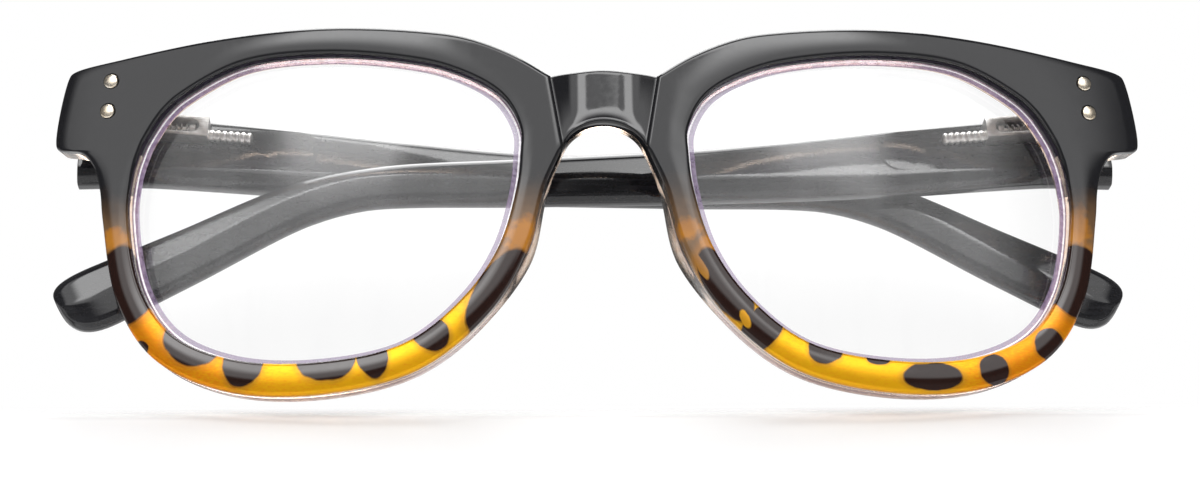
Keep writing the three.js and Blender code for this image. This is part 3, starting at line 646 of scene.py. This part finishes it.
def bridgeSection(share):
    look = frontShape
    creaseBottom = look["creaseTop"] - look["creaseHeight"]
    top = look["creaseTop"] + look["bridgeRise"] * (1 - share ** 2)
    arch = look["archTurn"]
    roundness = math.sqrt(max(0, 1 - (share * arch) ** 2))
    bottom = creaseBottom + look["archRise"] * (1 - (1 - roundness) / (1 - math.sqrt(1 - arch ** 2)))
    panelShare = look["panelHalf"] / ((look["creaseTopHalf"] + look["creaseBottomHalf"]) / 2)
    facet = max(0.0, softLeast(1.0, (1 - abs(share)) / (1 - panelShare), look["panelSoft"]))
    edge = look["outerRound"] * look["bridgeEdge"]
    back = look["rimDepth"]
    frontHigh, frontDeep = look["bridgeFront"]
    rearHigh, rearDeep = look["bridgeRear"]

    def faceAt(level):
        # depth of the bridge's face: it leans back upward and turns out again at its lower lip
        lip = max(0.0, 1 - level / look["panelLipShare"])
        deep = look["recess"] + look["panelLean"] * (level - 0.5) - look["panelLip"] * lip ** 2
        return edge + (deep - edge) * facet

    row = [(top - frontHigh + frontHigh * math.sin(turn),
            faceAt(1) + frontDeep - frontDeep * math.cos(turn)) for turn in arcSteps(4)[::-1]]
    for i in range(1, look["panelSteps"]):
        level = 1 - i / look["panelSteps"]
        row.append((bottom + frontHigh + (top - bottom - 2 * frontHigh) * level, faceAt(level)))
    row += [(bottom + frontHigh - frontHigh * math.sin(turn),
             faceAt(0) + frontDeep - frontDeep * math.cos(turn)) for turn in arcSteps(4)]
    row += [(bottom, depth) for depth in look["archDepths"]]
    row += [(bottom + rearHigh - rearHigh * math.cos(turn), back - rearDeep + rearDeep * math.sin(turn))
            for turn in arcSteps(3)]
    row += [((top + bottom) / 2, back)]
    row += [(top - rearHigh + rearHigh * math.sin(turn), back - rearDeep + rearDeep * math.cos(turn))
            for turn in arcSteps(3)]
    points = []
    for height, depth in row:
        climb = min(max((height - creaseBottom) / look["creaseHeight"], 0), 1)
        half = look["creaseBottomHalf"] + (look["creaseTopHalf"] - look["creaseBottomHalf"]) * climb
        points.append(Vector((flatX(share * half), depth, height)))
    return points


def bendFront(obj):
    radius = frontShape["bendRadius"]
    for vert in obj.data.vertices:
        x, y = vert.co.x / mm, vert.co.y / mm
        vert.co.x = ((radius - y) * math.sin(x / radius) + frontShape["middleX"]) * mm
        vert.co.y = (radius - (radius - y) * math.cos(x / radius) + frontShape["faceY"]) * mm
        vert.co.z += frontShape["footZ"] * mm


def layerCutter(name, extra):
    # a slab over the coloured layer, with a lug that slopes back to the lens
    look = frontShape
    reach, foot = look["layerReach"], look["layerFoot"]
    slab = blockOf(name, (-reach, foot, foot), (reach, look["colourDepth"] + extra, look["layerTop"]))
    reach = look["deepReach"]
    lug = blockOf(name + "_lug", (-reach, look["deepStart"], look["deepFoot"]),
                  (reach, look["deepColour"] + extra, look["deepTop"]))
    middleY, middleZ = look["deepMiddle"]
    for vert in lug.data.vertices:
        if vert.co.z < middleZ * mm and vert.co.y > middleY * mm:
            vert.co.z += look["deepSlope"] * mm
    combine(slab, "UNION", lug)
    return slab


def makeFrontBlank():
    look = frontShape
    rim = skinOver("front_blank", [rimSection(i / look["stepsPerStation"]) for i in range(rimSteps)], True)
    other = mirroredCopy(rim, "front_other_rim")
    over, count = look["bridgeOver"], look["bridgeSteps"]
    bridge = skinOver("front_bridge", [bridgeSection(-over + 2 * over * i / count) for i in range(count + 1)])
    combine(rim, "UNION", other)
    combine(rim, "UNION", bridge)
    return rim


def openFrame(side):
    # hinge frame with the temple open: back along it, inward to the head, up the pin
    pin, _, _, up = hingeAxes(side)
    back = (Vector((0, 1, 0)) - up * up.y).normalized()
    inward = up.cross(back)
    inward = inward if (inward.x < 0) == (side == "left") else -inward
    return pin, back, inward, up


def placeInFrame(obj, frameAxes):
    pin, back, inward, up = frameAxes
    for vert in obj.data.vertices:
        vert.co = pin + back * vert.co.x + inward * vert.co.y + up * vert.co.z
    faceOutward(obj)
    return obj


endShape = {
    # x and z of the block behind the rim
    "corners": [(59.85, 34.6), (69.1, 34.6), (68.5, 42.4), (59.85, 43.8)],
    "front": -4.75, "behind": 2.0, "edge": 0.35, "edgeAngle": 40, "edgeSteps": 3,
    "plateAt": -4.5, "freeRoom": (13, 10, 13),      # nothing stands behind the hinge plate
    "recess": ((-5.15, -1.45, -3.55), (-3.5, 4.05, 3.55)),
    "headRadius": 1.07, "headDepth": 0.66, "shankRadius": 0.68, "shankDepth": 12,
    "drillLead": 1.5, "drillSides": 36, "rivetEnd": 0.4,
}


def makeEndBlock(side):
    look = endShape
    way = 1 if side == "left" else -1
    nearX, farX = (pick(x for x, z in look["corners"]) for pick in (min, max))
    lowZ, highZ = (pick(z for x, z in look["corners"]) for pick in (min, max))
    block = blockOf(side + "_end_block", (nearX, look["front"], lowZ), (farX, look["behind"], highZ))
    for vert in block.data.vertices:
        outer = vert.co.x > (nearX + farX) / 2 * mm
        high = vert.co.z > (lowZ + highZ) / 2 * mm
        x, z = look["corners"][(2 if high else 1) if outer else (3 if high else 0)]
        vert.co.x = (way * x + frontShape["middleX"]) * mm
        vert.co.z = (z + frontShape["footZ"]) * mm
    faceOutward(block)
    softenEdges(block, look["edge"], look["edgeAngle"], look["edgeSteps"])
    return block


def rivetCutter(side, kind, radius, reach):
    # a drill along a rivet, set by the solid's two ends
    look = endShape
    low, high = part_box(side + "_" + kind + "_rivet")
    points = [vert.co for vert in nodes[side + "_" + kind + "_rivet"].data.vertices]
    head = [point for point in points if point.y < low.y + look["rivetEnd"] * mm]
    foot = [point for point in points if point.y > high.y - look["rivetEnd"] * mm]
    start = sum(head, Vector()) / len(head)
    end = sum(foot, Vector()) / len(foot)
    way = (end - start).normalized()
    top = start - way * look["drillLead"] * mm
    bottom = start + way * reach * mm
    bpy.ops.object.select_all(action="DESELECT")
    bpy.ops.mesh.primitive_cylinder_add(vertices=look["drillSides"], radius=radius * mm,
                                        depth=(bottom - top).length, location=(top + bottom) / 2,
                                        rotation=way.to_track_quat("Z", "Y").to_euler())
    obj = nameIt(bpy.context.object, "drill")
    bpy.ops.object.transform_apply(location=True, rotation=True, scale=True)
    return obj


frontBlank = makeFrontBlank()
colourLayer = copyOf(frontBlank, "front_colour_layer")
clearLayer = nameIt(frontBlank, "front_clear_layer")
combine(colourLayer, "INTERSECT", layerCutter("colour_cutter", 0.0))
combine(clearLayer, "DIFFERENCE", layerCutter("clear_cutter", frontShape["layerGap"]))
bendFront(colourLayer)
bendFront(clearLayer)
plateAt = endShape["plateAt"]
deep, wide, tall = endShape["freeRoom"]
for side in sides:
    combine(clearLayer, "UNION", makeEndBlock(side))
    axes = openFrame(side)
    behind = blockOf("behind", (plateAt, -wide, -tall), (plateAt + deep, wide, tall))
    combine(clearLayer, "DIFFERENCE", placeInFrame(behind, axes))
    combine(clearLayer, "DIFFERENCE", placeInFrame(blockOf("recess", *endShape["recess"]), axes))
    for kind in ("upper", "lower"):
        combine(colourLayer, "DIFFERENCE",
                rivetCutter(side, kind, endShape["headRadius"], endShape["headDepth"]))
        for layer in (colourLayer, clearLayer):
            combine(layer, "DIFFERENCE",
                    rivetCutter(side, kind, endShape["shankRadius"], endShape["shankDepth"]))
for layer in (colourLayer, clearLayer):
    splitLargeFaces(layer)
    smoothByAngle(layer, frontShape["creaseAngle"])
finishPiece(colourLayer, tortoise, "front", "front", "front_frame")
finishPiece(clearLayer, champagne, "front", "front", "front_frame")
print("front layers made", len(colourLayer.data.polygons), len(clearLayer.data.polygons))


# lenses: domed faces with a bevel that sits in the groove

lensShape = {"setBack": 2.15, "edge": 1.5, "bevelReach": 0.6, "play": 0.12, "frontDome": 1.5, "backDome": 0.9,
             "rings": (0.03, 0.15, 0.3, 0.45, 0.6, 0.74, 0.86, 0.93, 0.966, 0.991, 1.0), "creaseAngle": 30}


def makeLensBlank(name):
    look = lensShape
    middle = Vector((flatX(lensMiddleX), 0, lensMiddleZ))

    def ring(share, reach, depth):
        row = []
        for i in range(rimSteps):
            step = i / frontShape["stepsPerStation"]
            edge = openingAt(step) + outwardAt(step) * reach
            row.append(middle.lerp(edge, share) + Vector((0, depth, 0)))
        return row

    rows = [ring(share, -look["play"], look["setBack"] - look["frontDome"] * (1 - share ** 2))
            for share in look["rings"]]
    rows.append(ring(1, look["bevelReach"], look["setBack"] + look["edge"] / 2))
    rows += [ring(share, -look["play"], look["setBack"] + look["edge"] - look["backDome"] * (1 - share ** 2))
             for share in look["rings"][::-1]]
    return skinOver(name, rows)


leftLens = makeLensBlank("left_clear_lens")
lenses = {"left": leftLens, "right": mirroredCopy(leftLens, "right_clear_lens")}
lineStart = (len(lensShape["rings"]) - 2) * rimSteps      # first vertex of the line round the front face
for side, lens in lenses.items():
    finishPiece(lens, coatedLens, "front", "lens", side + "_lens")
    lens.data.materials.append(lensRimReflection)
    lens.data.materials.append(lensRimHighlight)
    for face in lens.data.polygons:
        row = (min(face.vertices) - lineStart) // rimSteps
        face.material_index = 2 if row == 0 else 1 if row in (-1, 1, 2) else 0
    bendFront(lens)
    smoothByAngle(lens, lensShape["creaseAngle"])
print("lenses made")


# rivets and hinge metal: width of the rounded edges in mm, the least angle they are cut at, their segments

metalEdges = {
    "upper_rivet": (0.10, 35, 3), "lower_rivet": (0.10, 35, 3), "front_leaf": (0.08, 40, 2),
    "hinge_screw": (0.06, 40, 2), "slider": (0.07, 40, 2), "rod_collar": (0.06, 40, 2),
    "spring_housing": (0.09, 40, 2),
}
metalBodies = {
    "upper_rivet": "front", "lower_rivet": "front", "front_leaf": "front", "hinge_screw": "front",
    "slider": "{}_slider", "rod_collar": "{}_slider", "spring_housing": "{}_temple",
}
metalCrease = 35

for side in sides:
    for kind, (width, angle, segments) in metalEdges.items():
        node = side + "_" + kind
        piece = copyOfNode(node, node + "_finished")
        softenEdges(piece, width, angle, segments)
        smoothByAngle(piece, metalCrease)
        isRivet = kind.endswith("rivet")
        finishPiece(piece, rivetMetal if isRivet else hingeMetal, metalBodies[kind].format(side),
                    "rivet" if isRivet else "hinge_metal", node)
print("rivets and hinges made")


# springs: one coil wound from a ring of wire, then copied

springShape = {
    "start": 4.46, "end": 9.99,     # along the rod from the pin, mm
    "rodInset": -0.9,               # rod's place in from the pin
    "coilRadius": 0.62, "wireRadius": 0.14,
    "turns": 7.4, "stepsPerTurn": 26, "wireSides": 10, "merge": 0.001, "creaseAngle": 40,
    "travel": 1.6,                  # how far the slide shortens it
}


def windSpring(name):
    look = springShape
    lift = look["end"] - look["start"] - 2 * look["wireRadius"]
    steps = int(look["turns"] * look["stepsPerTurn"])
    bpy.ops.object.select_all(action="DESELECT")
    bpy.ops.mesh.primitive_circle_add(vertices=look["wireSides"], radius=look["wireRadius"] * mm,
                                      fill_type="NGON", location=(look["coilRadius"] * mm, 0, 0),
                                      rotation=(math.pi / 2, 0, 0))
    coil = nameIt(bpy.context.object, name)
    bpy.ops.object.transform_apply(location=True, rotation=True, scale=True)
    applyModifier(coil, "SCREW", axis="Z", angle=look["turns"] * 2 * math.pi, screw_offset=lift * mm,
                  steps=steps, render_steps=steps, use_merge_vertices=False)
    editAll(coil)
    bpy.ops.mesh.remove_doubles(threshold=look["merge"] * mm)
    bpy.ops.mesh.fill_holes(sides=look["wireSides"])
    bpy.ops.mesh.normals_make_consistent(inside=False)
    doneEdit()
    smoothByAngle(coil, look["creaseAngle"])
    return coil


look = springShape
for side, coil in onBothSides(windSpring("left_coil"), "right_coil").items():
    pin, along, inward, up = hingeAxes(side)
    foot = pin + along * (look["start"] + look["wireRadius"]) * mm + inward * look["rodInset"] * mm
    turn = Matrix((up, along.cross(up), along)).transposed().to_4x4()
    coil.data.transform(Matrix.Translation(foot) @ turn)
    finishPiece(coil, wireMetal, side + "_slider", "spring_wire", side + "_spring")
    side + "_spring_slide"
    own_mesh(coil)
print("springs wound")


# temples: drawn along the folded arm from the pin, flat outside and ridged inside

templeShape = {
    # along the arm, height of its middle line, depth of the arm, share down to the ridge; mm
    "rows": [(-4.2, -3.0, 11.0, 0.82), (5, -2.6, 9.9, 0.82), (26, -2.6, 9.3, 0.77), (50, -2.4, 7.5, 0.62),
             (75, -1.3, 6.55, 0.46), (96, -0.5, 5.6, 0.34), (105, -2.1, 6.067, 0.40),
             (120.104, -8.357, 7.467, 0.50), (136.13, -14.99, 8.9, 0.53)],
    "outerFace": -5.3, "thick": 3.8, "earThick": 3.1, "edge": 0.8,
    "topRound": 0.9, "topFall": 0.12, "lowerFall": 0.55, "lowerRound": 1.3,
    "bead": 0.07, "thinBy": 1.2, "steps": 96, "tangentStep": 0.002, "creaseAngle": 28,
    # the ear end closes like a bent ellipse, and thins as it does
    "tipStart": 0.945, "tipSlant": 0.45, "tipPower": 0.64, "tipSteps": 18, "tipTurn": 89,
    "tipThin": (0.55, 0.45),
    # rounded edges: their reach from a corner, where the flat begins, and the most of a side each takes
    "edgeRound": 0.42, "edgeShare": 0.3, "edgeSteps": 4, "flatFrom": 0.62, "flatShare": 0.45,
    "leastSide": 0.01,
    "nearShare": 0.0018, "nearRound": 0.05, "nearSteps": 4,
    "pocket": ((-9, -2.2, -4.6), (27.8, -1.2, 1.85)), "pocketCorner": 2.6, "pocketTaper": (1.2, 0.84),
    "pocketSteps": 10,
    "slot": ((2.0, -2.45, -1.55), (12.75, 3.8, 1.55)),
    "tailSlot": ((11.63, -2.25, -1.45), (18.55, 3.8, 0.45)), "tailCorner": 0.6, "tailSteps": 6,
}
templeLine = [Vector((along, 0, height)) for along, height, depth, ridge in templeShape["rows"]]


def templeValue(column, share):
    # the last row's share still falls in the last span
    step = min(share * (len(templeLine) - 1), len(templeLine) - 1.000001)
    low = int(step)
    values = [row[column] for row in templeShape["rows"]]
    return values[low] + (values[low + 1] - values[low]) * (step - low)


def toward(corner, other, kind):
    # a point a little way from a corner: where its rounded edge ends, or where the flat begins
    reach = templeShape["edgeRound" if kind == "edge" else "flatFrom"]
    side = max((other - corner).length, templeShape["leastSide"])
    return corner.lerp(other, min(reach / side, templeShape[kind + "Share"]))


def templeSection(share, squeeze):
    look = templeShape
    last = len(templeLine) - 1
    step, small = share * last, look["tangentStep"]
    run = (curveThrough(templeLine, min(step + small, last), False)
           - curveThrough(templeLine, step - small, False)).normalized()
    up = Vector((-run.z, 0, run.x))
    full = templeValue(2, share) / 2
    half = full * squeeze
    middle = curveThrough(templeLine, step, False) + up * look["tipSlant"] * (full - half)
    ridge = half - 2 * half * templeValue(3, share)
    thick = look["thick"] + (look["earThick"] - look["thick"]) * min(1, share * look["thinBy"])
    outer = look["outerFace"]
    least, more = look["tipThin"]
    slim = least + more * squeeze
    inner = outer + thick * slim
    edge = min(look["edge"], half * look["edgeShare"])
    corners = [(inner - look["topRound"] * slim, half), (inner - look["topFall"], half - edge),
               (inner + look["bead"] * squeeze, ridge), (inner - look["lowerFall"] * slim, edge - half),
               (inner - look["lowerRound"] * slim, -half), (outer + look["edge"] * slim, -half),
               (outer, edge - half), (outer, half - edge), (outer + look["edge"] * slim, half)]
    corners = [middle + up * height + Vector((0, depth, 0)) for depth, height in corners]
    row = []
    for i, corner in enumerate(corners):
        before, following = corners[i - 1], corners[(i + 1) % len(corners)]
        start, end = toward(corner, before, "edge"), toward(corner, following, "edge")
        row.append(toward(corner, before, "flat"))
        for j in range(look["edgeSteps"] + 1):
            part = j / look["edgeSteps"]
            row.append(start.lerp(corner, part).lerp(corner.lerp(end, part), part))
        row.append(toward(corner, following, "flat"))
    return row


def tailCutter():
    # the slot for the housing's tail, the two edges at its far end rounded
    look = templeShape
    (nearX, floorY, lowZ), (farX, openY, highZ) = look["tailSlot"]
    tail = blockOf("tail_slot", (nearX, floorY, lowZ), (farX, openY, highZ))
    for vert in tail.data.vertices:
        vert.select = False
    for edge in tail.data.edges:
        start, end = (tail.data.vertices[i].co for i in edge.vertices)
        atFarEnd = min(start.x, end.x) > (nearX + farX) / 2 * mm
        edge.select = atFarEnd and abs(start.y - end.y) > (openY - floorY) / 2 * mm
    for face in tail.data.polygons:
        face.select = False
    pickOnly(tail)
    bpy.ops.object.mode_set(mode="EDIT")
    bpy.ops.mesh.select_mode(type="EDGE")
    bpy.ops.mesh.bevel(offset=look["tailCorner"] * mm, segments=look["tailSteps"], affect="EDGES",
                       clamp_overlap=False)
    doneEdit()
    return tail


def pocketCutter():
    # a shallow dish round the hinge, round at its far end and smaller at its floor
    look = templeShape
    (nearX, floorY, lowZ), (farX, openY, highZ) = look["pocket"]
    corner = look["pocketCorner"]
    middle, half = (lowZ + highZ) / 2, (highZ - lowZ) / 2
    lower = [(farX - corner + corner * math.sin(turn), corner - half - corner * math.cos(turn))
             for turn in arcSteps(look["pocketSteps"])]
    outline = [(nearX, -half)] + lower + [(x, -z) for x, z in lower[::-1]] + [(nearX, half)]
    shorter, narrower = look["pocketTaper"]
    rows = [[(x - inset, depth, middle + z * share) for x, z in outline]
            for depth, inset, share in ((openY, 0.0, 1.0), (floorY, shorter, narrower))]
    return skinOver("pocket", rows)


def makeArm(name):
    look = templeShape
    rows = []
    for turn in arcSteps(look["nearSteps"]):
        squeeze = 1 - look["nearRound"] * (1 - math.sin(turn))
        rows.append(templeSection(look["nearShare"] * (1 - math.cos(turn)), squeeze))
    rows += [templeSection(look["tipStart"] * i / look["steps"], 1.0) for i in range(1, look["steps"] + 1)]
    for i in range(1, look["tipSteps"] + 1):
        turn = math.radians(look["tipTurn"]) * i / look["tipSteps"]
        along, squeeze = math.sin(turn) ** look["tipPower"], math.cos(turn) ** look["tipPower"]
        rows.append(templeSection(look["tipStart"] + (1 - look["tipStart"]) * along, squeeze))
    arm = skinOver(name, rows)
    for cutter in (pocketCutter(), blockOf("slot", *look["slot"]), tailCutter()):
        combine(arm, "DIFFERENCE", cutter)
    return arm


for side, temple in onBothSides(makeArm("left_polished_temple"), "right_polished_temple").items():
    placeInFrame(temple, hingeAxes(side))
    splitLargeFaces(temple)
    smoothByAngle(temple, templeShape["creaseAngle"])
    finishPiece(temple, polishedBlack, side + "_temple", "temple", side + "_temple")
print("temples made", len(temple.data.polygons))


# stage: a white sweep that falls away toward the camera, which looks up from below the rims

stageShape = {
    "crestY": -3.6, "crestZ": -0.2, "fall": 30.0, "reach": 2600.0, "back": 2600.0, "front": 1500.0,
    "fade": 4.6, "gap": (5.0, 7.0),     # the sweep thins out to the crest and comes back behind it
    "dull": (0.82, 0.82, 0.82, 1), "pale": (0.84, 0.84, 0.84, 1), "polish": 0.9,
}


def makeFloor():
    look = stageShape
    mat, wire = newMaterial("whiteSweep")
    place = wire.millimetres()
    grain = wire.noise(place, 0.05, 3.0)
    colour = grain.tint(look["dull"], look["pale"])
    depth = wire.parts(place)[1] - look["crestY"]
    alpha = depth.ease(-look["fade"], 0.0, 1.0, 0.0).most(depth.ease(*look["gap"]))
    wire.surface(wire.principled({"Base Color": colour, "Roughness": look["polish"],
                                  "Specular IOR Level": 0.0, "Alpha": alpha}))
    bpy.ops.object.select_all(action="DESELECT")
    bpy.ops.mesh.primitive_plane_add(size=1)
    floor = nameIt(bpy.context.object, "floor")
    for vert in floor.data.vertices:
        vert.select = vert.co.y < 0
        vert.co = Vector((math.copysign(look["reach"], vert.co.x),
                          look["crestY"] if vert.select else look["back"], look["crestZ"])) * mm
    for edge in floor.data.edges:
        edge.select = all(floor.data.vertices[i].select for i in edge.vertices)
    for face in floor.data.polygons:
        face.select = False
    bpy.ops.object.mode_set(mode="EDIT")
    bpy.ops.mesh.select_mode(type="EDGE")
    drop = look["front"] * math.tan(math.radians(look["fall"]))
    bpy.ops.mesh.extrude_region_move(TRANSFORM_OT_translate={"value": (0, -look["front"] * mm, -drop * mm)})
    doneEdit()
    floor.data.materials.append(mat)


makeFloor()
print("stage made")


# light: a wide panel and two windows in front, light from below, and one soft box above

roomLight = {
    "background": 1.0, "low": 0.26, "around": 0.12, "horizon": (-0.10, 0.04),
    "under": 1.2, "underRise": (-0.75, -0.60),      # lights the sweep's underside only
    "facing": (0.0, 0.2), "leastAhead": 0.05,
    "panel": 1.75, "panelSpread": (0.92, 0.64), "panelRise": (0.10, 0.20), "panelTop": (0.76, 0.58),
    "windows": 5.2, "windowInside": (0.10, 0.18), "windowOutside": (0.46, 0.34),
    "windowRise": (0.25, 0.46), "windowTop": (0.78, 0.62),
    "windowJoin": (0.46, 0.62), "joinWidth": 0.2,   # the two windows meet higher up
}
topBox = {"place": (0, 140, 640), "aim": (0, -10, 0), "width": 420, "height": 860, "watts": 5.8}     # mm


def makeWorld():
    look = roomLight
    world = bpy.data.worlds.new("whiteRoom")
    bpy.context.scene.world = world
    world.use_nodes = True
    world.node_tree.nodes.clear()
    wire = Wire(world.node_tree)
    seen = wire.add("ShaderNodeLightPath", {}, {}, "Is Camera Ray").most(
        wire.add("ShaderNodeLightPath", {}, {}, "Is Transmission Ray"))
    x, y, z = wire.parts(wire.add("ShaderNodeTexCoord", {}, {}, "Generated"))
    ahead = 0.0 - y
    facing = ahead.ease(*look["facing"])
    aside = wire.maths("ABSOLUTE", x) / ahead.most(look["leastAhead"])
    panel = aside.ease(*look["panelSpread"]) * facing
    panel = panel * z.ease(*look["panelRise"]) * z.ease(*look["panelTop"]) * look["panel"]
    joined = z.ease(*look["windowJoin"]) * look["joinWidth"]
    windows = (aside + joined).ease(*look["windowInside"]) * aside.ease(*look["windowOutside"]) * facing
    windows = windows * z.ease(*look["windowRise"]) * z.ease(*look["windowTop"]) * look["windows"]
    room = z.ease(*look["horizon"], look["low"], look["around"]) + panel + windows
    room = room + z.ease(*look["underRise"], look["under"], 0.0)
    strength = seen * look["background"] + (1.0 - seen) * room
    sky = wire.add("ShaderNodeBackground", {}, {"Color": white, "Strength": strength})
    wire.add("ShaderNodeOutputWorld", {}, {"Surface": sky})


def makeTopBox():
    look = topBox
    place = Vector(look["place"])
    bpy.ops.object.light_add(type="AREA", location=place * mm)
    lamp = bpy.context.object
    lamp.name = "topBox"
    lamp.data.shape = "RECTANGLE"
    lamp.data.size = look["width"] * mm
    lamp.data.size_y = look["height"] * mm
    lamp.data.energy = look["watts"]
    lamp.rotation_euler = (Vector(look["aim"]) - place).to_track_quat("-Z", "Y").to_euler()


makeWorld()
makeTopBox()


# camera, fitted to the photo: 16 degrees below the front, a little to the wearer's right

cameraFit = {"turn": 0.04208, "below": 0.27925, "roll": -0.01222,      # radians
             "target": (-0.767, -12.266, 19.2225), "distance": 280.0, "clipStart": 5.0,     # mm
             "focal": 2242.0, "imageWidth": 1200.0, "sensor": 36.0}    # focal length in photo pixels


def makeCamera():
    look = cameraFit
    target = Vector(look["target"])
    away = Vector((-math.sin(look["turn"]) * math.cos(look["below"]),
                   -math.cos(look["turn"]) * math.cos(look["below"]), -math.sin(look["below"])))
    flat = (-away).cross(Vector((0, 0, 1))).normalized()
    top = flat.cross(-away)
    right = flat * math.cos(look["roll"]) + top * math.sin(look["roll"])
    up = top * math.cos(look["roll"]) - flat * math.sin(look["roll"])
    bpy.ops.object.camera_add()
    cam = bpy.context.object
    cam.data.sensor_width = look["sensor"]
    cam.data.lens = look["sensor"] * look["focal"] / look["imageWidth"]
    cam.data.clip_start = look["clipStart"] * mm
    turn = Matrix((right, up, away)).transposed().to_4x4()
    cam.matrix_world = Matrix.Translation((target + away * look["distance"]) * mm) @ turn
    bpy.context.scene.camera = cam


makeCamera()
bpy.context.scene.view_settings.view_transform = "Standard"
print("camera and lights set")
